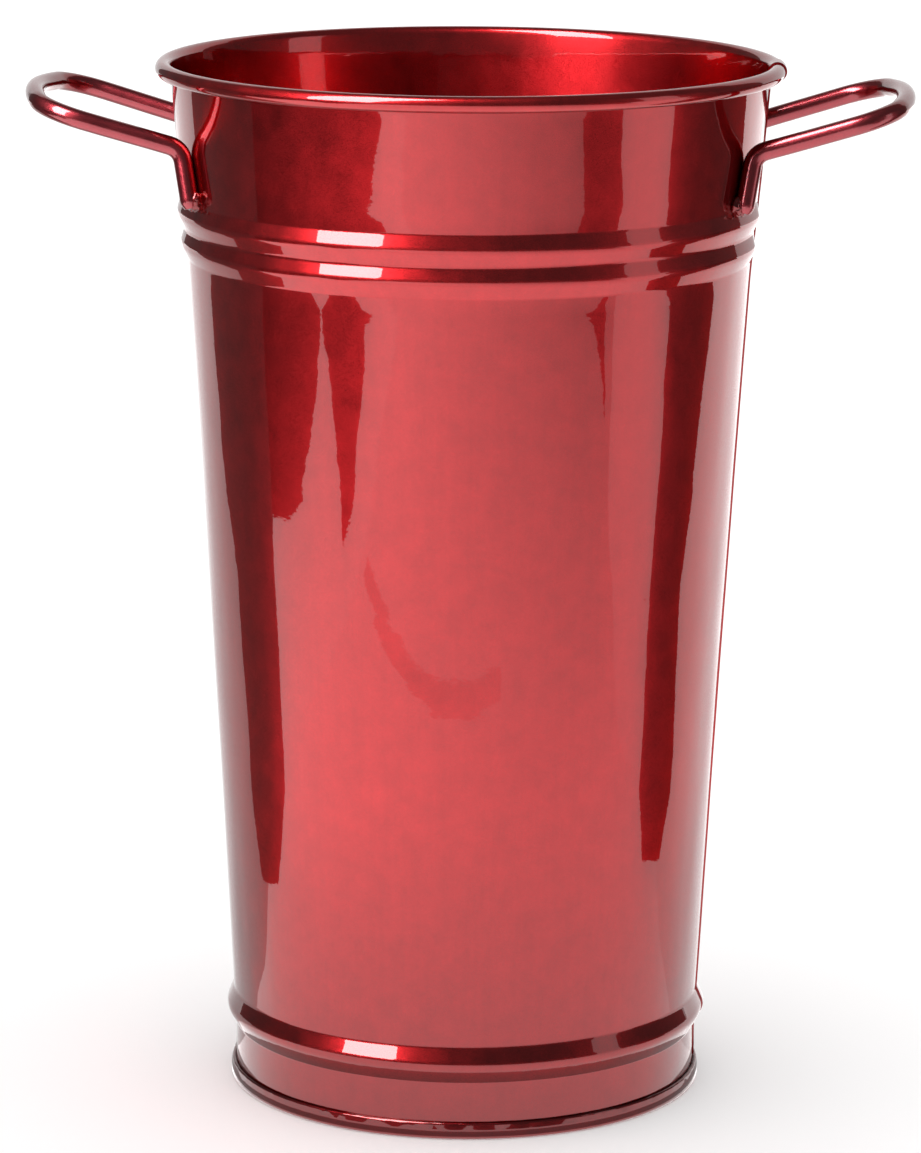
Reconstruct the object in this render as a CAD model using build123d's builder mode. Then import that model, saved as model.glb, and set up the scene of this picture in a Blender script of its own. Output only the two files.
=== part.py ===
from build123d import *

import os
from math import atan2, cos, degrees, radians, sin, sqrt, tan

# Tall tapered florist bucket in lacquered sheet steel.
# Millimetres, +Z up, the floor at z = 0, the bucket's axis on Z, the two handles on the X axis,
# and the side seam on +X.

# Overall sizes
height = 334.0
rim_diameter = 200.0
base_diameter = 153.7

# Sheet and wires
sheet = 0.5
rim_wire_diameter = 4.0
handle_wire_diameter = 6.0
wire_clearance = 0.1
fold_gap = 0.05

# Foot seam: the bottom's edge and the wall's edge hooked into each other
seam_height = 5.6
seam_edge_radius = 0.9
hook_tip_gap = 0.4
panel_recess = 5.0
panel_corner_radius = 1.0

# Wall: rolled beads, and a band that flares to the rim
foot_bead_height = 25.0
foot_bead_half_width = 6.0
foot_bead_rise = 3.3
foot_bead_crown_radius = 4.0
foot_crease_radius = 1.0
foot_shoulder_radius = 3.0
foot_step = 0.75
top_bead_drop = 47.2
bead_pitch = 9.5
bead_rise = 2.6
bead_crown_radius = 4.6
bead_root_radius = 2.4
bead_step = 2.2
wall_sag = 0.6
wall_sweep_run = 95.0
band_flare = 4.7
curl_wrap = 300.0

# Side seam: the sheet's two edges lap over each other
lap_width = 9.0
lap_seam_clearance = 0.4
lap_curl_wrap = 280.0

# Handles: bent round wire, with both legs lying on the wall
handle_overhang = 41.2
handle_spacing = 80.0
handle_tilt = 16.5
handle_corner_radius = 15.0
handle_bow = 8.5
handle_bow_radius = 110.0
leg_bend_drop = 24.6
leg_bend_radius = 6.0
leg_bend_spacing = 73.0
leg_length = 18.4
leg_tip_chamfer = 1.0
leg_gap = 0.05

# Welds: a bead of filler round each leg's foot
weld_throat = 1.0
weld_run = 6.5
weld_overhang = 1.6
weld_edge_radius = 1.8
weld_sink = 1.8

# Foot seam, worked out from the floor up and from the outside in
layer = sheet + fold_gap
base_radius = base_diameter / 2
foot_radius = base_radius - 3 * layer
hook_bend_radius = sheet / 2 + fold_gap
wall_bend_outer = hook_bend_radius + sheet
wall_bend_centre_z = sheet + fold_gap + wall_bend_outer
body_hook_radius = foot_radius + 2 * hook_bend_radius
pan_radius = foot_radius - sheet - layer
fold_outer_radius = hook_bend_radius + sheet
fold_centre_z = seam_height - fold_outer_radius
body_hook_top = fold_centre_z - hook_tip_gap
cover_hook_tip = wall_bend_centre_z + hook_tip_gap

# Rim, worked out from the top down
rim_wire_radius = rim_wire_diameter / 2
curl_inner = rim_wire_radius + wire_clearance
curl_outer = curl_inner + sheet
curl_centre = (rim_diameter / 2 - curl_outer, height - curl_outer)
flare = radians(band_flare)
band_top = (curl_centre[0] - curl_inner * cos(flare), curl_centre[1] + curl_inner * sin(flare))


def band_radius(z):
    """Outside radius of the flared band at height z."""
    return band_top[0] - (band_top[1] - z) * tan(flare)


# Bead pair under the band
bead_1_z = height - top_bead_drop
bead_2_z = bead_1_z - bead_pitch
root_top_z = bead_1_z + bead_pitch / 2
root_middle_z = bead_1_z - bead_pitch / 2
root_low_z = bead_2_z - bead_pitch / 2
root_top_radius = band_radius(root_top_z)
root_low_radius = root_top_radius - bead_step
root_middle_radius = (root_top_radius + root_low_radius) / 2
bead_1_radius = (root_top_radius + root_middle_radius) / 2 + bead_rise
bead_2_radius = (root_middle_radius + root_low_radius) / 2 + bead_rise

# Foot bead and the long wall between it and the bead pair
foot_crease_z = foot_bead_height - foot_bead_half_width
foot_shoulder_z = foot_bead_height + foot_bead_half_width
shoulder_radius = foot_radius + foot_step
wall_middle_z = (foot_shoulder_z + root_low_z) / 2
wall_middle_radius = (shoulder_radius + root_low_radius) / 2 - wall_sag
lower_slope = (wall_middle_radius - shoulder_radius) / (wall_middle_z - foot_shoulder_z)
upper_slope = (root_low_radius - wall_middle_radius) / (root_low_z - wall_middle_z)
wall_sweep_radius = wall_sweep_run / tan((upper_slope - lower_slope) / 2)


def wall_path():
    """Outer face of the wall in the (radius, height) plane, from the foot to the start of the curl."""
    FilletPolyline(
        (foot_radius, wall_bend_centre_z),
        (foot_radius, foot_crease_z),
        (foot_radius + foot_bead_rise, foot_bead_height),
        (shoulder_radius, foot_shoulder_z),
        (wall_middle_radius, wall_middle_z),
        (root_low_radius, root_low_z),
        (bead_2_radius, bead_2_z),
        (root_middle_radius, root_middle_z),
        (bead_1_radius, bead_1_z),
        (root_top_radius, root_top_z),
        band_top,
        radius=[
            foot_crease_radius,
            foot_bead_crown_radius,
            foot_shoulder_radius,
            wall_sweep_radius,
            bead_root_radius,
            bead_crown_radius,
            bead_root_radius,
            bead_crown_radius,
            bead_root_radius,
        ],
    )


def wall_sheet(side):
    """Section of one thickness of sheet on the given side of the wall's outer face."""
    with BuildSketch() as section:
        with BuildLine():
            wall_path()
            offset(amount=sheet, side=side)
        make_face()
    return section.sketch


def curl_sheet(inner, wrap):
    """Section of one thickness of sheet curled outward from the top of the band, round the rim wire."""
    with BuildSketch() as section:
        with BuildLine():
            CenterArc(curl_centre, inner, 180 - band_flare, -wrap)
            offset(amount=sheet, side=Side.LEFT)
        make_face()
    return section.sketch


# Body wall: one sheet with its hook at the foot, its beads, its curl round the rim wire, and its lap seam
lap_angle = degrees(lap_width / ((rim_diameter + base_diameter) / 4))
lap_bottom_z = seam_height + lap_seam_clearance
lap_top_z = curl_centre[1] - curl_outer - lap_seam_clearance

with BuildSketch(Plane.XZ) as wall_section:
    with BuildLine():
        Line((body_hook_radius, body_hook_top), (body_hook_radius, wall_bend_centre_z))
        CenterArc((foot_radius + hook_bend_radius, wall_bend_centre_z), hook_bend_radius, 0, -180)
        offset(amount=sheet, side=Side.LEFT)
    make_face()
    add(wall_sheet(Side.LEFT))
    add(curl_sheet(curl_inner, curl_wrap))

with BuildSketch(Plane.XZ.rotated((0, 0, -lap_angle / 2))) as lap_section:
    add(wall_sheet(Side.RIGHT))
    with Locations((rim_diameter / 2, (lap_bottom_z + lap_top_z) / 2)):
        Rectangle(rim_diameter, lap_top_z - lap_bottom_z, mode=Mode.INTERSECT)
    add(curl_sheet(curl_outer, lap_curl_wrap))

with BuildPart() as body_wall:
    revolve(wall_section.sketch, axis=Axis.Z)
    revolve(lap_section.sketch, axis=Axis.Z, revolution_arc=lap_angle)

# Everything inside the wall's outer face, taken out of what is laid against the wall
with BuildPart() as wall_core:
    with BuildSketch(Plane.XZ):
        with BuildLine():
            wall_path()
            Polyline(band_top, (0, band_top[1]), (0, wall_bend_centre_z), (foot_radius, wall_bend_centre_z))
        make_face()
    revolve(axis=Axis.Z)

# Rim wire: a steel ring inside the curl
with BuildPart() as rim_wire:
    with BuildSketch(Plane.XZ):
        with Locations(curl_centre):
            Circle(rim_wire_radius)
    revolve(axis=Axis.Z)

# Bottom plate: a panel set up inside the wall, turned down, then folded out and over the wall's hook
fold_centre = (base_radius - fold_outer_radius, fold_centre_z)
with BuildPart() as bottom_plate:
    with BuildSketch(Plane.XZ):
        with BuildLine():
            FilletPolyline(
                (0, panel_recess),
                (pan_radius, panel_recess),
                (pan_radius, 0),
                (base_radius, 0),
                (base_radius, fold_centre_z),
                radius=[panel_corner_radius, seam_edge_radius, seam_edge_radius],
            )
            CenterArc(fold_centre, fold_outer_radius, 0, 180)
            Line((foot_radius + fold_gap, fold_centre_z), (foot_radius + fold_gap, cover_hook_tip))
            offset(amount=sheet, side=Side.LEFT)
        make_face()
    revolve(axis=Axis.Z)

# Sealant: a ring in each bend of the seam, against the tip of the hook that enters it
wall_bend_gap = (foot_radius + hook_bend_radius, (wall_bend_centre_z + cover_hook_tip) / 2)
fold_gap_middle = (fold_centre[0], (fold_centre_z + body_hook_top) / 2)
with BuildPart() as bottom_seam_sealant:
    with BuildSketch(Plane.XZ):
        with Locations(wall_bend_gap, fold_gap_middle):
            Rectangle(2 * hook_bend_radius, hook_tip_gap)
    revolve(axis=Axis.Z)

# Handle wire, worked out from where each leg bends off the wall
handle_wire_radius = handle_wire_diameter / 2
leg_standoff = (handle_wire_radius + leg_gap) / cos(flare)
leg_bend_z = height - leg_bend_drop
leg_foot_z = leg_bend_z - leg_length * cos(flare)
leg_bend_y = leg_bend_spacing / 2
bar_end_y = handle_spacing / 2
leg_bend_x = sqrt((band_radius(leg_bend_z) + leg_standoff) ** 2 - leg_bend_y**2)
leg_foot_x = sqrt((band_radius(leg_foot_z) + leg_standoff) ** 2 - bar_end_y**2)
bow_angle = atan2(handle_bow, bar_end_y)
bow_cut = handle_bow_radius * (1 / cos(bow_angle) - 1)
handle_reach = rim_diameter / 2 + handle_overhang
bow_apex_x = handle_reach - handle_wire_radius + bow_cut * cos(radians(handle_tilt))
bar_end_x = bow_apex_x - handle_bow * cos(radians(handle_tilt))


def handle_plane_z(x):
    """Height of the tilted handle at distance x from the axis."""
    return leg_bend_z + (x - leg_bend_x) * tan(radians(handle_tilt))


leg_foot = Vector(leg_foot_x, bar_end_y, leg_foot_z)
leg_bend = Vector(leg_bend_x, leg_bend_y, leg_bend_z)
bar_end = Vector(bar_end_x, bar_end_y, handle_plane_z(bar_end_x))
bow_apex = Vector(bow_apex_x, 0, handle_plane_z(bow_apex_x))

# Right handle: up one leg, out along the tilted bars and round the bowed grip, and down the other leg
with BuildPart() as right_handle:
    with BuildLine() as grip_line:
        half = [leg_foot, leg_bend, bar_end]
        other_half = [Vector(point.X, -point.Y, point.Z) for point in reversed(half)]
        bends = [leg_bend_radius, handle_corner_radius]
        FilletPolyline(*half, bow_apex, *other_half, radius=[*bends, handle_bow_radius, *reversed(bends)])
    with BuildSketch(Plane(grip_line.line @ 0, z_dir=grip_line.line % 0)):
        Circle(handle_wire_radius)
    sweep()
    chamfer(right_handle.faces().filter_by(GeomType.PLANE).edges(), leg_tip_chamfer)
    add(wall_core.part, mode=Mode.SUBTRACT)

# Welds: a bead of filler on the wall round each leg's foot
leg_line = (leg_bend - leg_foot).normalized()
weld_radius = handle_wire_radius + weld_throat
across_leg = leg_line.cross(Vector(leg_foot_x, bar_end_y, 0))
out_of_wall = across_leg.cross(leg_line).normalized()
weld_plane = Plane(leg_foot - out_of_wall * weld_sink, x_dir=leg_line, z_dir=across_leg)
with BuildPart() as right_handle_welds:
    with BuildSketch(weld_plane):
        with BuildLine():
            FilletPolyline(
                (-weld_overhang, 0),
                (-weld_overhang, weld_radius),
                (weld_run, weld_radius),
                (weld_run, 0),
                radius=weld_edge_radius,
            )
            Line((weld_run, 0), (-weld_overhang, 0))
        make_face()
    revolve(axis=Axis(weld_plane.origin, leg_line))
    mirror(about=Plane.XZ)
    add(wall_core.part, mode=Mode.SUBTRACT)
    add(right_handle.part, mode=Mode.SUBTRACT)

# Left handle and its welds mirror the right ones
with BuildPart() as left_handle:
    mirror(right_handle.part, about=Plane.YZ)

with BuildPart() as left_handle_welds:
    mirror(right_handle_welds.part, about=Plane.YZ)

os.makedirs("parts", exist_ok=True)

body_wall.part.label = "body_wall"
rim_wire.part.label = "rim_wire"
bottom_plate.part.label = "bottom_plate"
bottom_seam_sealant.part.label = "bottom_seam_sealant"
left_handle.part.label = "left_handle"
right_handle.part.label = "right_handle"
left_handle_welds.part.label = "left_handle_welds"
right_handle_welds.part.label = "right_handle_welds"

export_step(body_wall.part, "parts/body_wall.step")
export_step(rim_wire.part, "parts/rim_wire.step")
export_step(bottom_plate.part, "parts/bottom_plate.step")
export_step(bottom_seam_sealant.part, "parts/bottom_seam_sealant.step")
export_step(left_handle.part, "parts/left_handle.step")
export_step(right_handle.part, "parts/right_handle.step")
export_step(left_handle_welds.part, "parts/left_handle_welds.step")
export_step(right_handle_welds.part, "parts/right_handle_welds.step")
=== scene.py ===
import math

import bmesh
import bpy
from mathutils import Matrix, Vector, noise


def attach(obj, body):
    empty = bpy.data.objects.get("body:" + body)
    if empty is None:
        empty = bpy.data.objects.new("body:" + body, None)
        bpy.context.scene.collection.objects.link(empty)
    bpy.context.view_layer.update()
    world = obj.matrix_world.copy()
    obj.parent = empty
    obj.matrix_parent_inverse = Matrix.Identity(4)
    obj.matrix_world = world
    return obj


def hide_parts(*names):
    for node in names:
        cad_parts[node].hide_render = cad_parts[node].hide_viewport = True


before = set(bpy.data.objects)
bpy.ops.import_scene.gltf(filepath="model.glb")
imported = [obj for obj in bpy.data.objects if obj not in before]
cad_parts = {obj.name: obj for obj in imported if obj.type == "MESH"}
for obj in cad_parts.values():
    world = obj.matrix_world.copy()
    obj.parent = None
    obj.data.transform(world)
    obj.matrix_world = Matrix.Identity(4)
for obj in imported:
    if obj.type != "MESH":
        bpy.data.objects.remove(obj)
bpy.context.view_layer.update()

# ---------------------------------------------------------------- camera
# A long portrait lens, set well back and above the rim, and a degree round towards the right handle.
# It isn't quite level, so the bucket leans a third of a degree in the frame.
camera_height = 0.5260
camera_distance = 1.6776
camera_turn = math.radians(1.2)
camera_pitch = math.radians(12.11)
camera_yaw = math.radians(0.075)
camera_roll = math.radians(0.33)

camera = bpy.data.objects.new("camera", bpy.data.cameras.new("camera"))
bpy.context.collection.objects.link(camera)
camera.data.lens = 165.3
camera.data.clip_start = 0.05
camera.data.clip_end = 60
camera.location = (
    camera_distance * math.sin(camera_turn),
    -camera_distance * math.cos(camera_turn),
    camera_height,
)
camera.rotation_mode = "QUATERNION"
camera.rotation_quaternion = (
    Matrix.Rotation(camera_turn + camera_yaw, 3, "Z")
    @ Matrix.Rotation(math.pi / 2 - camera_pitch, 3, "X")
    @ Matrix.Rotation(camera_roll, 3, "Z")
).to_quaternion()
bpy.context.scene.camera = camera
bpy.context.scene.view_settings.view_transform = "Standard"


# ---------------------------------------------------------------- studio
# A pale floor in even light, a white table with dark flags on it, two standing boards and one tall soft
# box. The table, flags and boards are there only for the lacquer to mirror, so nothing else sees them.
def node(tree, kind, inputs=(), **settings):
    """Adds a node. Each input is named or numbered, and takes a value or another node's output."""
    made = tree.nodes.new(kind)
    for key, value in settings.items():
        setattr(made, key, value)
    for key, value in dict(inputs).items():
        if isinstance(value, bpy.types.NodeSocket):
            tree.links.new(value, made.inputs[key])
        else:
            made.inputs[key].default_value = value
    return made


def blank_material(name):
    """A material with an empty node tree, and its output node."""
    material = bpy.data.materials.new(name)
    material.use_nodes = True
    material.node_tree.nodes.clear()
    return material, material.node_tree, node(material.node_tree, "ShaderNodeOutputMaterial")


def shape_object(name, points, faces, material=None):
    """A mesh object at the origin with its place in its mesh."""
    mesh = bpy.data.meshes.new(name)
    mesh.from_pydata([Vector(p) for p in points], [], faces)
    made = bpy.data.objects.new(name, mesh)
    bpy.context.collection.objects.link(made)
    if material:
        mesh.materials.append(material)
    return made


def mirrored_card(name, corners, brightness, slope=(0.0, 0.0), faces=None):
    """A flat glowing or dark sheet of studio that only mirror-like reflections pick up.

    Its brightness may rise along x and y, by so much a metre. With no faces given, it is one sheet."""
    material, tree, output = blank_material(name)
    place = node(tree, "ShaderNodeTexCoord").outputs["Object"]
    rise = node(tree, "ShaderNodeVectorMath", {0: place, 1: (*slope, 0.0)}, operation="DOT_PRODUCT")
    level = node(tree, "ShaderNodeMath", {0: rise.outputs["Value"], 1: brightness}, operation="ADD")
    glow = node(tree, "ShaderNodeEmission", {"Color": (1, 1, 1, 1), "Strength": level.outputs[0]})
    tree.links.new(glow.outputs[0], output.inputs["Surface"])
    card = shape_object(name, corners, faces or [list(range(len(corners)))], material)
    for kind in ("camera", "diffuse", "transmission", "volume_scatter", "shadow"):
        setattr(card, "visible_" + kind, False)


def floor_card(name, corners, brightness, height=0.0, slope=(0.0, 0.0)):
    """A card lying on the floor, or just above it, its corners given as x, y in metres."""
    mirrored_card(name, [(x, y, height) for x, y in corners], brightness, slope)


def floor_ring(name, inner, outer, brightness, height, parts=64):
    """A ring lying on the floor round the foot."""
    turns = [math.tau * i / parts for i in range(parts)]
    corners = [(r * math.cos(turn), r * math.sin(turn), height) for r in (inner, outer) for turn in turns]
    faces = [(i, (i + 1) % parts, parts + (i + 1) % parts, parts + i) for i in range(parts)]
    mirrored_card(name, corners, brightness, faces=faces)


floor_material, tree, output = blank_material("pale_floor")
grain = node(tree, "ShaderNodeTexNoise", {"Scale": 3.0, "Detail": 3.0})
tint = node(tree, "ShaderNodeMapRange", {"Value": grain.outputs["Fac"], "To Min": 0.93, "To Max": 0.96})
shade = node(tree, "ShaderNodeCombineColor", {0: tint.outputs[0], 1: tint.outputs[0], 2: tint.outputs[0]})
paper = node(tree, "ShaderNodeBsdfDiffuse", {"Color": shade.outputs[0]})
tree.links.new(paper.outputs[0], output.inputs["Surface"])
floor = shape_object(
    "floor", [(-14, -8, 0), (14, -8, 0), (14, 20, 0), (-14, 20, 0)], [(0, 1, 2, 3)], floor_material,
)
floor.visible_glossy = False

table_join = 0.02
floor_card("table_front_left", [(-1.0, -1.4), (-0.45, -2.0), (-0.45, table_join), (-1.0, table_join)], 2.25)
floor_card(
    "table_front", [(-0.45, -2.4), (1.5, -2.4), (1.5, table_join), (-0.45, table_join)], 1.82,
    slope=(-0.92, 0.25),
)
floor_card("table_back_left", [(-6, table_join), (0, table_join), (0, 3), (-6, 3)], 0.95, slope=(0.0, 0.3))
floor_card("table_back_right", [(0, table_join), (6, table_join), (6, 3), (0, 3)], 1.40, slope=(0.0, 0.35))
floor_card(
    "table_right",
    [(0.40, table_join), (0.40, -0.15), (0.70, -0.38), (0.90, -0.50), (1.30, -0.85), (6, -0.90),
     (6, table_join)],
    1.5, 0.0002,
)
floor_card(
    "flag_left",
    [(-0.275, -0.01), (-0.38, -0.035), (-0.63, -0.015), (-0.75, -0.02), (-9.0, -0.02), (-9.0, 4.0),
     (-5.0, 5.3), (-1.08, 0.90), (-0.78, 0.56), (-0.70, 0.42), (-0.61, 0.29), (-0.35, 0.12), (-0.275, 0.05)],
    0.16, 0.0005,
)
floor_card(
    "flag_front_left",
    [(-0.74, -0.02), (-0.72, -0.15), (-0.73, -0.25), (-0.77, -0.34), (-0.83, -0.42), (-0.90, -0.53),
     (-0.76, -0.515), (-0.67, -0.48), (-0.58, -0.45), (-0.525, -0.42), (-0.53, -0.50), (-0.58, -0.58),
     (-0.62, -0.67), (-0.66, -0.77), (-0.62, -0.87), (-0.61, -0.98), (-0.65, -1.08), (-0.75, -1.14),
     (-0.95, -1.17), (-3, -1.3), (-9, -5), (-9, -0.02)],
    0.06, 0.001,
)
floor_card(
    "flag_right",
    [(0.295, -0.03), (0.38, -0.05), (0.62, -0.05), (0.95, -0.05), (1.12, -0.01), (1.20, -0.12),
     (1.41, -0.15), (6, -0.3), (6, 5.2), (1.22, 1.10), (1.08, 0.62), (0.86, 0.37), (0.73, 0.27),
     (0.62, 0.17), (0.37, 0.08), (0.295, 0.03)],
    0.08, 0.0005,
)
floor_card(
    "flag_front_right",
    [(0.86, -0.92), (0.80, -0.80), (0.77, -0.71), (0.79, -0.62), (0.76, -0.54), (0.725, -0.44), (0.81, -0.53),
     (0.87, -0.56), (0.97, -0.54), (1.03, -0.60), (1.13, -0.66), (1.35, -0.85), (1.30, -1.25), (0.95, -1.25)],
    0.08, 0.001,
)
floor_card("table_fold", [(-0.42, -0.49), (0.12, -0.49), (0.12, -0.46), (-0.42, -0.46)], 1.3, 0.001)
floor_ring("foot_shade", 0.078, 0.085, 0.5, 0.0004)
mirrored_card("side_board", [(1.44, -0.70, 0), (1.58, -0.28, 0), (1.58, -0.28, 1.1), (1.44, -0.70, 1.1)], 1.2)
mirrored_card("backdrop", [(-1.05, 2.15, 0), (2.4, 2.15, 0), (2.4, 2.15, 2.4), (-1.05, 2.15, 2.4)], 0.9)

world = bpy.data.worlds.new("studio_air")
bpy.context.scene.world = world
world.use_nodes = True
world.node_tree.nodes.clear()
path = node(world.node_tree, "ShaderNodeLightPath")
even = node(world.node_tree, "ShaderNodeBackground", {"Color": (1, 1, 1, 1), "Strength": 1.25})
dim = node(world.node_tree, "ShaderNodeBackground", {"Color": (1, 1, 1, 1), "Strength": 0.12})
pick = node(
    world.node_tree, "ShaderNodeMixShader",
    {0: path.outputs["Is Glossy Ray"], 1: even.outputs[0], 2: dim.outputs[0]},
)
node(world.node_tree, "ShaderNodeOutputWorld", {"Surface": pick.outputs[0]})


def soft_box(name, turn, rise, distance, wide, tall, brightness):
    """An area light aimed at the upper wall, placed by its turn from the front and its rise, in degrees."""
    light = bpy.data.lights.new(name, "AREA")
    light.shape = "RECTANGLE"
    light.size, light.size_y = wide, tall
    light.energy = brightness * math.pi * wide * tall
    box = bpy.data.objects.new(name, light)
    bpy.context.collection.objects.link(box)
    turn, rise = math.radians(turn), math.radians(rise)
    away = Vector((math.sin(turn) * math.cos(rise), -math.cos(turn) * math.cos(rise), math.sin(rise)))
    box.location = Vector((0, 0, 0.27)) + away * distance
    box.rotation_mode = "QUATERNION"
    box.rotation_quaternion = away.to_track_quat("Z", "Y")
    box.visible_camera = False
    box.visible_diffuse = False


soft_box("key_box", -46, 41, 1.6, 0.78, 2.0, 15.5)


# ---------------------------------------------------------------- wall
# The body is one sheet of tinned steel, rolled to a cone, beaded, hooked into the bottom at the foot
# and curled outward at the rim over a wire. It is dipped in clear red lacquer over the bright tin.
sheet = 0.0005
fold_gap = 0.00005
layer = sheet + fold_gap
rim_radius = 0.100
rim_top = 0.334
base_radius = 0.07685
curl_inner = 0.0021
curl_centre = (rim_radius - curl_inner - sheet, rim_top - curl_inner - sheet)
curl_wrap = math.radians(300)
flare = math.radians(4.7)
foot_radius = base_radius - 3 * layer
hook_bend = sheet / 2 + fold_gap
hook_bend_height = sheet + fold_gap + hook_bend + sheet
fold_height = 0.0056 - hook_bend - sheet
hook_top = fold_height - 0.0012
bead_1 = rim_top - 0.0480
bead_pitch = 0.0099
bead_rise = 0.0020
bead_crest_bend = 0.0040
bead_root_bend = 0.0024
bead_margin = 0.0012
band_top = (curl_centre[0] - curl_inner * math.cos(flare), curl_centre[1] + curl_inner * math.sin(flare))
root_top = band_top[0] - (band_top[1] - bead_1 - bead_pitch / 2) * math.tan(flare)
root_low = root_top - 0.0022
root_middle = (root_top + root_low) / 2
root_low_height = bead_1 - 1.5 * bead_pitch
shoulder = (foot_radius + 0.00075, 0.0302)
wall_middle = ((shoulder[0] + root_low) / 2 - 0.0006, (shoulder[1] + root_low_height) / 2)
wall_bow = 19.1

wall_corners = [
    (foot_radius, hook_bend_height, 0),
    (foot_radius, 0.0184, 0.001),
    (foot_radius + 0.0033, 0.0243, 0.004),
    (*shoulder, 0.003),
    (*wall_middle, wall_bow),
    (root_low, root_low_height, bead_root_bend),
    ((root_middle + root_low) / 2 + bead_rise, bead_1 - bead_pitch, bead_crest_bend),
    (root_middle, bead_1 - bead_pitch / 2, bead_root_bend),
    ((root_top + root_middle) / 2 + bead_rise, bead_1, bead_crest_bend),
    (root_top, bead_1 + bead_pitch / 2, bead_root_bend),
    (*band_top, 0),
]


def arc(centre, radius, start, sweep, parts):
    """Points along an arc, its angles in radians."""
    return [
        Vector((centre[0] + radius * math.cos(start + sweep * i / parts),
                centre[1] + radius * math.sin(start + sweep * i / parts)))
        for i in range(parts + 1)
    ]


def bent_outline(corners, longest=0.006, finest=math.radians(9)):
    """Runs joined by rounded bends through corners of (radius, height, bend radius), cut into short steps."""
    points = [Vector(corners[0][:2])]
    for before, corner, after in zip(corners, corners[1:], corners[2:]):
        here = Vector(corner[:2])
        back = (Vector(before[:2]) - here).normalized()
        on = (Vector(after[:2]) - here).normalized()
        turned = math.pi - back.angle(on)
        reach = corner[2] * math.tan(turned / 2)
        centre = here + (back + on).normalized() * (corner[2] / math.cos(turned / 2))
        first, last = here + back * reach - centre, here + on * reach - centre
        start = math.atan2(first.y, first.x)
        sweep = (math.atan2(last.y, last.x) - start + math.pi) % math.tau - math.pi
        parts = max(math.ceil(turned / finest), math.ceil(corner[2] * turned / longest), 2)
        points += arc(centre, corner[2], start, sweep, parts)
    points.append(Vector(corners[-1][:2]))
    outline = [points[0]]
    for point in points[1:]:
        run = point - outline[-1]
        parts = max(1, math.ceil(run.length / longest))
        outline += [outline[-1] + run * i / parts for i in range(1, parts + 1)]
    return outline


def outline_object(name, outline, pressed=None):
    """The outline as mesh edges in the XZ plane, each point with its radius where the sheet is pressed."""
    mesh = bpy.data.meshes.new(name)
    edges = [(i, i + 1) for i in range(len(outline) - 1)]
    mesh.from_pydata([(p.x, 0, p.y) for p in outline], edges, [])
    flat = mesh.attributes.new("pressed", "FLOAT", "POINT")
    flat.data.foreach_set("value", [pressed(p) if pressed else p.x for p in outline])
    made = bpy.data.objects.new(name, mesh)
    bpy.context.collection.objects.link(made)
    return made


def math_node(tree, operation, first, second=0.0):
    return node(tree, "ShaderNodeMath", {0: first, 1: second}, operation=operation).outputs[0]


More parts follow.
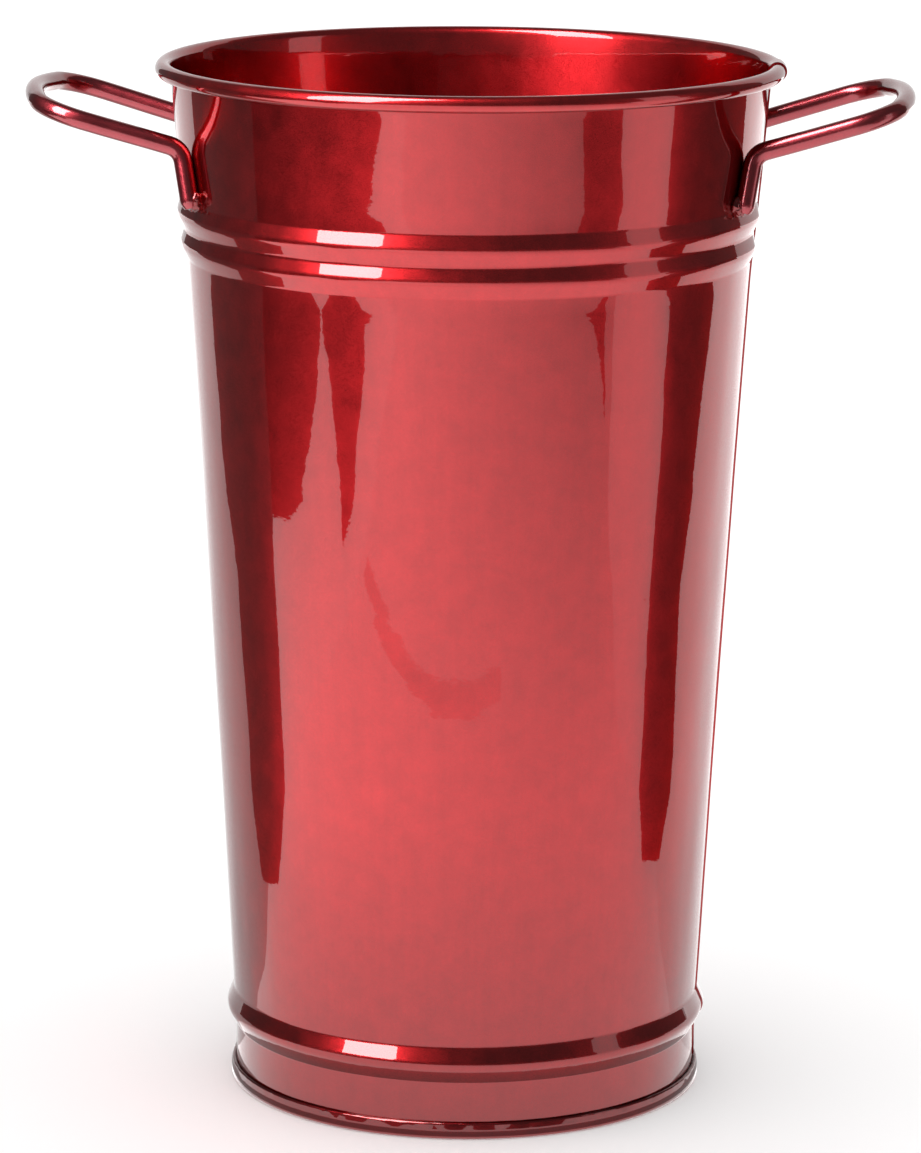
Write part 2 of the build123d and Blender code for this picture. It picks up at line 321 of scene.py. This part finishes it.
def turned_sheet_tree():
    """Turns an outline about the axis, with the shallow dents and upright ripples of rolled sheet."""
    mean_radius = 0.085
    tree = bpy.data.node_groups.new("turned_sheet", "GeometryNodeTree")
    face = tree.interface
    face.new_socket("Outline", in_out="INPUT", socket_type="NodeSocketGeometry")
    for name, kind in (
        ("Columns", "Int"), ("Start Angle", "Float"), ("Sweep", "Float"),
        ("Dent Depth", "Float"), ("Dent Width", "Float"), ("Dent Height", "Float"),
        ("Ripple Depth", "Float"), ("Ripple Width", "Float"), ("Ripple Height", "Float"),
        ("Lowest", "Float"), ("Highest", "Float"), ("Fade", "Float"),
        ("Pressed Angle", "Float"), ("Pressed Fade", "Float"), ("Finish", "Material"),
    ):
        face.new_socket(name, in_out="INPUT", socket_type="NodeSocket" + kind)
    face.new_socket("Sheet", in_out="OUTPUT", socket_type="NodeSocketGeometry")
    given = node(tree, "NodeGroupInput").outputs

    count = node(tree, "GeometryNodeAttributeDomainSize", {"Geometry": given["Outline"]}, component="MESH")
    grid = node(tree, "GeometryNodeMeshGrid", {
        "Size X": 1.0, "Size Y": 1.0,
        "Vertices X": math_node(tree, "ADD", given["Columns"], 1.0),
        "Vertices Y": count.outputs["Point Count"],
    })
    place = node(tree, "ShaderNodeSeparateXYZ", {0: node(tree, "GeometryNodeInputPosition").outputs[0]})
    along = math_node(tree, "ADD", place.outputs["Y"], 0.5)
    last = math_node(tree, "SUBTRACT", count.outputs["Point Count"], 1.0)
    row = math_node(tree, "ROUND", math_node(tree, "MULTIPLY", along, last))
    turn = math_node(tree, "ADD", given["Start Angle"], math_node(
        tree, "MULTIPLY", math_node(tree, "ADD", place.outputs["X"], 0.5), given["Sweep"]))
    point = node(tree, "GeometryNodeSampleIndex", {
        "Geometry": given["Outline"], "Index": row,
        "Value": node(tree, "GeometryNodeInputPosition").outputs[0],
    }, data_type="FLOAT_VECTOR")
    point = node(tree, "ShaderNodeSeparateXYZ", {0: point.outputs[0]})
    full, height = point.outputs["X"], point.outputs["Z"]
    cosine, sine = math_node(tree, "COSINE", turn), math_node(tree, "SINE", turn)
    pressed = node(tree, "GeometryNodeInputNamedAttribute", {"Name": "pressed"}, data_type="FLOAT")
    pressed = node(tree, "GeometryNodeSampleIndex", {
        "Geometry": given["Outline"], "Value": pressed.outputs[0], "Index": row}, data_type="FLOAT")
    off_seam = math_node(tree, "SUBTRACT", math_node(tree, "ARCCOSINE", cosine), given["Pressed Angle"])
    free = node(tree, "ShaderNodeMapRange", {
        "Value": math_node(tree, "DIVIDE", off_seam, given["Pressed Fade"]), "From Min": 0.0, "From Max": 1.0,
    }, interpolation_type="SMOOTHSTEP").outputs[0]
    radius = math_node(tree, "ADD", pressed.outputs[0], math_node(
        tree, "MULTIPLY", math_node(tree, "SUBTRACT", full, pressed.outputs[0]), free))

    shift = 0.0
    for kind, seed in (("Dent", 3.0), ("Ripple", 11.0)):
        round_wall = [
            math_node(tree, "DIVIDE", math_node(tree, "MULTIPLY", side, mean_radius), given[kind + " Width"])
            for side in (cosine, sine)
        ]
        up_wall = math_node(tree, "ADD", math_node(tree, "DIVIDE", height, given[kind + " Height"]), seed)
        spot = node(tree, "ShaderNodeCombineXYZ", {0: round_wall[0], 1: round_wall[1], 2: up_wall})
        wave = node(tree, "ShaderNodeTexNoise", {"Vector": spot.outputs[0], "Scale": 1.0, "Detail": 1.0})
        wave = math_node(tree, "SUBTRACT", wave.outputs["Fac"], 0.5)
        wave = math_node(tree, "MULTIPLY", wave, given[kind + " Depth"])
        shift = math_node(tree, "ADD", wave, shift)
    fade = [
        node(tree, "ShaderNodeMapRange", {
            "Value": math_node(tree, "DIVIDE", gap, given["Fade"]), "From Min": 0.0, "From Max": 1.0,
        }, interpolation_type="SMOOTHSTEP").outputs[0]
        for gap in (math_node(tree, "SUBTRACT", height, given["Lowest"]),
                    math_node(tree, "SUBTRACT", given["Highest"], height))
    ]
    shift = math_node(tree, "MULTIPLY", shift, math_node(tree, "MULTIPLY", *fade))
    radius = math_node(tree, "ADD", radius, math_node(tree, "MULTIPLY", shift, 2.0))

    spot = node(tree, "ShaderNodeCombineXYZ", {
        0: math_node(tree, "MULTIPLY", radius, cosine),
        1: math_node(tree, "MULTIPLY", radius, sine),
        2: height,
    })
    moved = node(tree, "GeometryNodeSetPosition", {
        "Geometry": grid.outputs["Mesh"], "Position": spot.outputs[0]})
    closed = node(tree, "GeometryNodeMergeByDistance", {"Geometry": moved.outputs[0], "Distance": 2e-6})
    smooth = node(tree, "GeometryNodeSetShadeSmooth", {"Geometry": closed.outputs[0]})
    real = node(tree, "GeometryNodeRealizeInstances", {"Geometry": smooth.outputs[0]})
    dressed = node(tree, "GeometryNodeSetMaterial", {
        "Geometry": real.outputs[0], "Material": given["Finish"]})
    node(tree, "NodeGroupOutput", {"Sheet": dressed.outputs[0]})
    return tree


def grown(name, source, tree, values, thickness=None):
    """Runs a node tree on a source object and keeps the result as a plain mesh object.

    A sheet's thickness goes to the side that its normals face, or to the other side where it is negative."""
    modifier = source.modifiers.new("maker", "NODES")
    modifier.node_group = tree
    for item in tree.interface.items_tree:
        if item.in_out == "INPUT" and item.name in values:
            modifier[item.identifier] = values[item.name]
    if thickness:
        layer_maker = source.modifiers.new("thickness", "SOLIDIFY")
        layer_maker.thickness = abs(thickness)
        layer_maker.offset = math.copysign(1, thickness)
        layer_maker.use_even_offset = True
    graph = bpy.context.evaluated_depsgraph_get()
    mesh = bpy.data.meshes.new_from_object(source.evaluated_get(graph), depsgraph=graph)
    mesh.name = name
    old = source.data
    bpy.data.objects.remove(source)
    (bpy.data.meshes if isinstance(old, bpy.types.Mesh) else bpy.data.curves).remove(old)
    work = bmesh.new()
    work.from_mesh(mesh)
    bmesh.ops.recalc_face_normals(work, faces=work.faces)
    work.to_mesh(mesh)
    work.free()
    mesh.set_sharp_from_angle(angle=math.radians(50))
    made = bpy.data.objects.new(name, mesh)
    bpy.context.collection.objects.link(made)
    return made


def red_lacquer(name, deep=(0.39, 0.012, 0.015), streaks=1.0, peel=1.0, gloss=0.015):
    """Clear red lacquer over bright tin: a tinted metal of fine flakes under a hard gloss coat.

    Its colour is made darker towards the foot, falling to 0.42 of itself at the floor."""
    material, tree, output = blank_material(name)
    coords = node(tree, "ShaderNodeTexCoord").outputs["Object"]
    cloud = node(tree, "ShaderNodeTexNoise", {
        "Vector": coords, "Scale": 130.0, "Detail": 4.0, "Roughness": 0.60})
    upright = node(tree, "ShaderNodeMapping", {"Vector": coords, "Scale": (1, 1, 0.025)})
    streak = node(tree, "ShaderNodeTexNoise", {"Vector": upright.outputs[0], "Scale": 480.0, "Detail": 3.0})
    grain = node(tree, "ShaderNodeTexNoise", {"Vector": coords, "Scale": 1400.0, "Detail": 2.0})
    flake = node(tree, "ShaderNodeTexVoronoi", {"Vector": coords, "Scale": 15000.0})
    flake = node(tree, "ShaderNodeSeparateColor", {0: flake.outputs["Color"]}).outputs[0]

    def spread(source, low, high):
        return node(tree, "ShaderNodeMapRange", {
            "Value": source, "From Min": 0.3, "From Max": 0.7, "To Min": low, "To Max": high}).outputs[0]

    patchy = spread(cloud.outputs["Fac"], 0.88, 1.08)
    grainy = spread(grain.outputs["Fac"], 0.95, 1.05)
    streaked = spread(streak.outputs["Fac"], 1 - 0.03 * streaks, 1 + 0.03 * streaks)
    height = node(tree, "ShaderNodeSeparateXYZ", {0: coords}).outputs["Z"]
    # The colour is darker towards the foot: full at 110 mm up, 0.42 of itself at the floor.
    darker_to_foot = node(tree, "ShaderNodeMapRange", {
        "Value": height, "From Min": 0.0, "From Max": 0.110, "To Min": 0.42, "To Max": 1.0}).outputs[0]
    depth = math_node(tree, "MULTIPLY", patchy, grainy)
    depth = math_node(tree, "MULTIPLY", depth, darker_to_foot)
    depth = math_node(tree, "MULTIPLY", depth, streaked)
    colour = node(tree, "ShaderNodeVectorMath", {0: deep, "Scale": depth}, operation="SCALE")

    polished = math_node(tree, "GREATER_THAN", flake, 0.80)
    rough = node(tree, "ShaderNodeMapRange", {"Value": polished, "To Min": 0.34, "To Max": 0.12})
    rough = math_node(tree, "ADD", rough.outputs[0], spread(cloud.outputs["Fac"], -0.03, 0.03))

    orange = node(tree, "ShaderNodeTexNoise", {"Vector": coords, "Scale": 420.0, "Detail": 2.0})
    run = node(tree, "ShaderNodeTexNoise", {"Vector": coords, "Scale": 70.0, "Detail": 1.0})
    grit = node(tree, "ShaderNodeTexVoronoi", {"Vector": coords, "Scale": 130.0})
    some = node(tree, "ShaderNodeSeparateColor", {0: grit.outputs["Color"]}).outputs[1]
    grit = node(tree, "ShaderNodeMapRange", {
        "Value": grit.outputs["Distance"], "From Min": 0.0, "From Max": 0.05, "To Min": 1.0, "To Max": 0.0})
    grit = math_node(tree, "MULTIPLY", grit.outputs[0], math_node(tree, "GREATER_THAN", some, 0.85))
    skin = math_node(tree, "ADD", math_node(tree, "MULTIPLY", orange.outputs["Fac"], 0.000006 * peel),
                     math_node(tree, "MULTIPLY", run.outputs["Fac"], 0.00005 * peel))
    skin = math_node(tree, "ADD", skin, math_node(tree, "MULTIPLY", grit, 0.00002))
    bump = node(tree, "ShaderNodeBump", {"Height": skin, "Strength": 1.0, "Distance": 1.0})

    metal = node(tree, "ShaderNodeBsdfPrincipled", {
        "Base Color": colour.outputs[0], "Metallic": 1.0, "Roughness": rough,
        "Specular Tint": (0.35, 0.05, 0.05, 1.0),
        "Coat Weight": 1.0, "Coat Roughness": gloss, "Coat IOR": 1.5,
        "Normal": bump.outputs[0], "Coat Normal": bump.outputs[0],
    })
    tree.links.new(metal.outputs[0], output.inputs["Surface"])
    return material


wall_finish = red_lacquer("red_lacquer_on_tin")
turned_sheet = turned_sheet_tree()
hook = [Vector((foot_radius + 2 * hook_bend, hook_top))]
hook += arc((foot_radius + hook_bend, hook_bend_height), hook_bend, 0, -math.pi, 8)
curl = arc(curl_centre, curl_inner, math.pi - flare, -curl_wrap, 34)
wall_outline = hook + bent_outline(wall_corners)[1:-1] + curl


def bead_pressed(point):
    """Radius of a wall point where the beads are pressed flat, in to the line between their roots."""
    low = root_low_height - bead_margin
    high = bead_1 + bead_pitch / 2 + bead_margin
    if not low < point.y < high or point.x < base_radius:
        return point.x
    return root_low + (root_top - root_low) * (point.y - low) / (high - low)


rolled_sheet = {
    "Dent Depth": 0.00030, "Dent Width": 0.040, "Dent Height": 0.075,
    "Ripple Depth": 0.00010, "Ripple Width": 0.012, "Ripple Height": 0.060,
    "Lowest": 0.008, "Highest": 0.327, "Fade": 0.020,
    "Pressed Angle": math.radians(3.2), "Pressed Fade": math.radians(6.5), "Finish": wall_finish,
}
wall = grown(
    "wall", outline_object("wall_outline", wall_outline, bead_pressed), turned_sheet,
    {"Columns": 240, "Start Angle": 0.0, "Sweep": math.tau, **rolled_sheet}, thickness=-sheet,
)
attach(wall, "root")
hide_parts("body_wall")


# ---------------------------------------------------------------- side seam
# The wall's two edges lap at the right handle, where the outer layer stands one sheet proud.
# The lap runs from just above the foot seam to the rim, and goes on over the curl.
lap_width = 0.009
lap_lowest = 0.0060
lap_highest = 0.3284
lap_stand = sheet - 0.00003
lap_sweep = lap_width / ((rim_radius + base_radius) / 2)
lap_curl_wrap = math.radians(280)


def outward(outline, distance):
    """The outline moved off to its right by a distance."""
    moved = []
    for i, point in enumerate(outline):
        run = (outline[min(i + 1, len(outline) - 1)] - outline[max(i - 1, 0)]).normalized()
        moved.append(point + Vector((run.y, -run.x)) * distance)
    return moved


def lap_pressed(point):
    """Radius of a lap point where the beads under it are pressed flat."""
    flat = bead_pressed(point)
    return flat if flat == point.x else flat + lap_stand


lap_outline = [p for p in outward(bent_outline(wall_corners), lap_stand) if lap_lowest <= p.y <= lap_highest]
lap_curl = arc(curl_centre, curl_inner + lap_stand, math.pi - flare, -lap_curl_wrap, 30)
for name, outline in (("side_seam", lap_outline), ("side_seam_curl", lap_curl)):
    strip = grown(
        name, outline_object(name, outline, lap_pressed), turned_sheet,
        {"Columns": 8, "Start Angle": -lap_sweep / 2, "Sweep": lap_sweep, **rolled_sheet}, thickness=-sheet,
    )
    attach(strip, "root")


# ---------------------------------------------------------------- bottom
# The bottom is a pressed plate set up inside the wall. Its edge turns down, out and up round the
# wall's hook, and the rollers that close this double seam leave a slightly crimped top edge.
panel_height = 0.005
pan_radius = foot_radius - sheet - layer
fold_lean = 0.00033
fold_radius = hook_bend + sheet - 0.0001
bottom_corners = [
    (0.0, panel_height, 0),
    (pan_radius, panel_height, 0.001),
    (pan_radius, 0.0, 0.0009),
    (base_radius - 0.0002, 0.0, 0.0012),
    (base_radius, 0.0031, 0.003),
    (base_radius - fold_lean, fold_height, 0),
]
bottom_outline = bent_outline(bottom_corners)[:-1]
bottom_outline += arc((base_radius - fold_lean - fold_radius, fold_height), fold_radius, 0, math.pi, 10)
bottom_outline.append(Vector((foot_radius + fold_gap, hook_bend_height + 0.0004)))
bottom_finish = red_lacquer("red_lacquer_on_bottom", deep=(0.33, 0.011, 0.014), streaks=0.3)
bottom = grown("bottom", outline_object("bottom_outline", bottom_outline), turned_sheet, {
    "Columns": 360, "Start Angle": 0.0, "Sweep": math.tau,
    "Dent Depth": 0.00006, "Dent Width": 0.020, "Dent Height": 0.010,
    "Ripple Depth": 0.00030, "Ripple Width": 0.0034, "Ripple Height": 0.004,
    "Lowest": 0.0030, "Highest": 0.1, "Fade": 0.002,
    "Pressed Angle": 0.0, "Pressed Fade": 0.1, "Finish": bottom_finish,
}, thickness=-sheet)
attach(bottom, "root")
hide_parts("bottom_plate")


# ---------------------------------------------------------------- handles
# Each handle is one length of 6 mm steel wire, bent by hand over a former: two legs that lie on the
# wall, two bars tilted upward, and a bowed grip. Both are dipped with the bucket.
wire_radius = 0.003
handle_spacing = 0.080
handle_reach = 0.1411
handle_tilt = math.radians(16.5)
handle_bow = 0.0085
grip_bend = 0.110
leg_bend_height = rim_top - 0.0246
leg_length = 0.0184
leg_spread = 0.073
leg_stand = (wire_radius + 0.00005) / math.cos(flare)
leg_bottom_height = leg_bend_height - leg_length * math.cos(flare)


def band_radius(height):
    """Outside radius of the flared band."""
    return band_top[0] - (band_top[1] - height) * math.tan(flare)


leg_bend_x = math.sqrt((band_radius(leg_bend_height) + leg_stand) ** 2 - (leg_spread / 2) ** 2)
leg_bottom_x = math.sqrt((band_radius(leg_bottom_height) + leg_stand) ** 2 - (handle_spacing / 2) ** 2)
bow_angle = math.atan2(handle_bow, handle_spacing / 2)
apex_x = handle_reach - wire_radius + grip_bend * (1 / math.cos(bow_angle) - 1) * math.cos(handle_tilt)
bar_end_x = apex_x - handle_bow * math.cos(handle_tilt)


def tilted(x):
    return leg_bend_height + (x - leg_bend_x) * math.tan(handle_tilt)


leg_bottom = Vector((leg_bottom_x, handle_spacing / 2, leg_bottom_height))
leg_bend = Vector((leg_bend_x, leg_spread / 2, leg_bend_height))
half_handle = [
    (leg_bottom, 0.0),
    (leg_bend, 0.006),
    (Vector((bar_end_x, handle_spacing / 2, tilted(bar_end_x))), 0.015),
]
handle_corners = half_handle + [(Vector((apex_x, 0, tilted(apex_x))), grip_bend)]
handle_corners += [(Vector((p.x, -p.y, p.z)), bend) for p, bend in reversed(half_handle)]


def bent_wire_tree():
    """Rounds a line's corners, lets it wander a little, and gives it a round section with nipped ends."""
    tree = bpy.data.node_groups.new("bent_wire", "GeometryNodeTree")
    face = tree.interface
    face.new_socket("Corners", in_out="INPUT", socket_type="NodeSocketGeometry")
    for name, kind in (
        ("Wire Radius", "Float"), ("Sides", "Int"), ("Step", "Float"), ("Nip Length", "Float"),
        ("Nip Radius", "Float"), ("Wander", "Float"), ("Wander Length", "Float"), ("Finish", "Material"),
    ):
        face.new_socket(name, in_out="INPUT", socket_type="NodeSocket" + kind)
    face.new_socket("Wire", in_out="OUTPUT", socket_type="NodeSocketGeometry")
    given = node(tree, "NodeGroupInput").outputs
    bend = node(tree, "GeometryNodeInputNamedAttribute", {"Name": "bend"}, data_type="FLOAT")
    line = node(tree, "GeometryNodeMeshToCurve", {"Mesh": given["Corners"]})
    line = node(tree, "GeometryNodeFilletCurve", {
        "Curve": line.outputs[0], "Count": 16, "Radius": bend.outputs[0]}, mode="POLY")
    line = node(tree, "GeometryNodeResampleCurve", {
        "Curve": line.outputs[0], "Length": given["Step"]}, mode="LENGTH")
    spot = node(tree, "ShaderNodeVectorMath", {
        0: node(tree, "GeometryNodeInputPosition").outputs[0],
        "Scale": math_node(tree, "DIVIDE", 1.0, given["Wander Length"])}, operation="SCALE")
    stray = node(tree, "ShaderNodeTexNoise", {"Vector": spot.outputs[0], "Scale": 1.0, "Detail": 0.0})
    stray = node(tree, "ShaderNodeVectorMath", {
        0: stray.outputs["Color"], 1: (0.5, 0.5, 0.5)}, operation="SUBTRACT")
    stray = node(tree, "ShaderNodeVectorMath", {
        0: stray.outputs[0], "Scale": given["Wander"]}, operation="SCALE")
    line = node(tree, "GeometryNodeSetPosition", {"Geometry": line.outputs[0], "Offset": stray.outputs[0]})
    length = node(tree, "GeometryNodeSplineParameter").outputs["Length"]
    whole = node(tree, "GeometryNodeSplineLength").outputs["Length"]
    near = math_node(tree, "MINIMUM", length, math_node(tree, "SUBTRACT", whole, length))
    nip = node(tree, "ShaderNodeMapRange", {
        "Value": math_node(tree, "DIVIDE", near, given["Nip Length"]), "From Min": 0.0, "From Max": 1.0,
        "To Min": given["Nip Radius"], "To Max": 1.0}, interpolation_type="SMOOTHSTEP")
    ring = node(tree, "GeometryNodeCurvePrimitiveCircle", {
        "Resolution": given["Sides"], "Radius": given["Wire Radius"]})
    wire = node(tree, "GeometryNodeCurveToMesh", {
        "Curve": line.outputs[0], "Profile Curve": ring.outputs[0],
        "Scale": nip.outputs[0], "Fill Caps": True,
    })
    smooth = node(tree, "GeometryNodeSetShadeSmooth", {"Geometry": wire.outputs[0]})
    real = node(tree, "GeometryNodeRealizeInstances", {"Geometry": smooth.outputs[0]})
    dressed = node(tree, "GeometryNodeSetMaterial", {
        "Geometry": real.outputs[0], "Material": given["Finish"]})
    node(tree, "NodeGroupOutput", {"Wire": dressed.outputs[0]})
    return tree


bent_wire = bent_wire_tree()
wire_finish = red_lacquer("red_lacquer_on_wire", deep=(0.30, 0.030, 0.040), streaks=0.0, peel=0.6, gloss=0.09)
for side, name in ((1, "right_handle"), (-1, "left_handle")):
    line = bpy.data.meshes.new(name + "_line")
    runs = [(i, i + 1) for i in range(len(handle_corners) - 1)]
    line.from_pydata([(side * p.x, p.y, p.z) for p, _ in handle_corners], runs, [])
    bends = line.attributes.new("bend", "FLOAT", "POINT")
    bends.data.foreach_set("value", [bend for _, bend in handle_corners])
    line_object = bpy.data.objects.new(name + "_line", line)
    bpy.context.collection.objects.link(line_object)
    handle = grown(name + "_wire", line_object, bent_wire, {
        "Wire Radius": wire_radius, "Sides": 28, "Step": 0.0011, "Nip Length": 0.0018, "Nip Radius": 0.62,
        "Wander": 0.0005, "Wander Length": 0.035, "Finish": wire_finish,
    })
    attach(handle, "root")
    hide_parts(name)


# ---------------------------------------------------------------- welds
# A lump of weld metal holds each leg's end to the wall, just above the upper bead. It is left as it set, and
# its lacquer is given a much darker red than the wall's.
weld_half_width = 0.0036
weld_half_height = 0.0036
weld_half_depth = 0.0031
weld_lift = 0.0022
weld_set_in = 0.0020
weld_sink = 0.00015


def wall_radius(height):
    """Outside radius of the wall at a height, read off its outline above the hook."""
    rising = wall_outline[len(hook):]
    low, high = next((a, b) for a, b in zip(rising, rising[1:]) if a.y <= height <= b.y)
    return low.x + (high.x - low.x) * (height - low.y) / max(high.y - low.y, 1e-9)


up = (leg_bend - leg_bottom).normalized()
out = Vector((leg_bottom.x, leg_bottom.y, 0)).normalized()
out = (out - up * out.dot(up)).normalized()
across = up.cross(out)
weld_middle = leg_bottom + up * weld_lift - out * weld_set_in
weld_finish = red_lacquer("red_lacquer_on_weld", deep=(0.17, 0.008, 0.010), streaks=0.0, peel=1.0, gloss=0.12)
for side, name in ((1, "right_handle"), (-1, "left_handle")):
    lumps = bmesh.new()
    for hand in (1, -1):
        made = bmesh.ops.create_icosphere(lumps, subdivisions=5, radius=1.0)
        for vertex in made["verts"]:
            way = vertex.co.copy()
            seed = way * 1.7 + Vector((side * 3.1, hand * 5.3, 0.0))
            swell = 1 + 0.16 * noise.noise(seed) + 0.07 * noise.noise(seed * 2.6)
            spot = across * way.x * weld_half_width + up * way.y * weld_half_height
            spot = weld_middle + (spot + out * way.z * weld_half_depth) * swell
            deepest = wall_radius(spot.z) - weld_sink
            inward = deepest / math.hypot(spot.x, spot.y)
            if inward > 1:
                spot.x, spot.y = spot.x * inward, spot.y * inward
            vertex.co = (side * spot.x, hand * spot.y, spot.z)
    bmesh.ops.remove_doubles(lumps, verts=lumps.verts, dist=1e-6)
    bmesh.ops.recalc_face_normals(lumps, faces=lumps.faces)
    mesh = bpy.data.meshes.new(name + "_weld_lumps")
    lumps.to_mesh(mesh)
    lumps.free()
    mesh.shade_smooth()
    mesh.materials.append(weld_finish)
    welds = bpy.data.objects.new(name + "_weld_lumps", mesh)
    bpy.context.collection.objects.link(welds)
    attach(welds, "root")
    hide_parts(name + "_welds")


# ---------------------------------------------------------------- rim wire and seam sealant
# Both are closed in by the sheet: a drawn steel ring inside the curl, and a bead of cured rubbery
# compound in each bend of the foot seam.
def dull_finish(name, colour, metallic, roughness, scale, relief):
    """A plain worked surface: fine blotches in the colour, and a fine relief."""
    material, tree, output = blank_material(name)
    coords = node(tree, "ShaderNodeTexCoord").outputs["Object"]
    blotch = node(tree, "ShaderNodeTexNoise", {"Vector": coords, "Scale": scale, "Detail": 4.0})
    shade = node(tree, "ShaderNodeMapRange", {"Value": blotch.outputs["Fac"], "To Min": 0.8, "To Max": 1.15})
    tint = node(tree, "ShaderNodeVectorMath", {0: colour, "Scale": shade.outputs[0]}, operation="SCALE")
    rough = node(tree, "ShaderNodeMapRange", {
        "Value": blotch.outputs["Fac"], "To Min": roughness - 0.08, "To Max": roughness + 0.08})
    height = math_node(tree, "MULTIPLY", blotch.outputs["Fac"], relief)
    bump = node(tree, "ShaderNodeBump", {"Height": height, "Strength": 1.0, "Distance": 1.0})
    body = node(tree, "ShaderNodeBsdfPrincipled", {
        "Base Color": tint.outputs[0], "Metallic": metallic,
        "Roughness": rough.outputs[0], "Normal": bump.outputs[0],
    })
    tree.links.new(body.outputs[0], output.inputs["Surface"])
    return material


def dress(name, material):
    """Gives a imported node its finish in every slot."""
    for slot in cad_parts[name].material_slots:
        slot.material = material


dress("rim_wire", dull_finish("drawn_steel", (0.50, 0.49, 0.47), 1.0, 0.32, 900.0, 0.000004))
dress("bottom_seam_sealant", dull_finish("seam_compound", (0.30, 0.29, 0.27), 0.0, 0.62, 600.0, 0.00002))
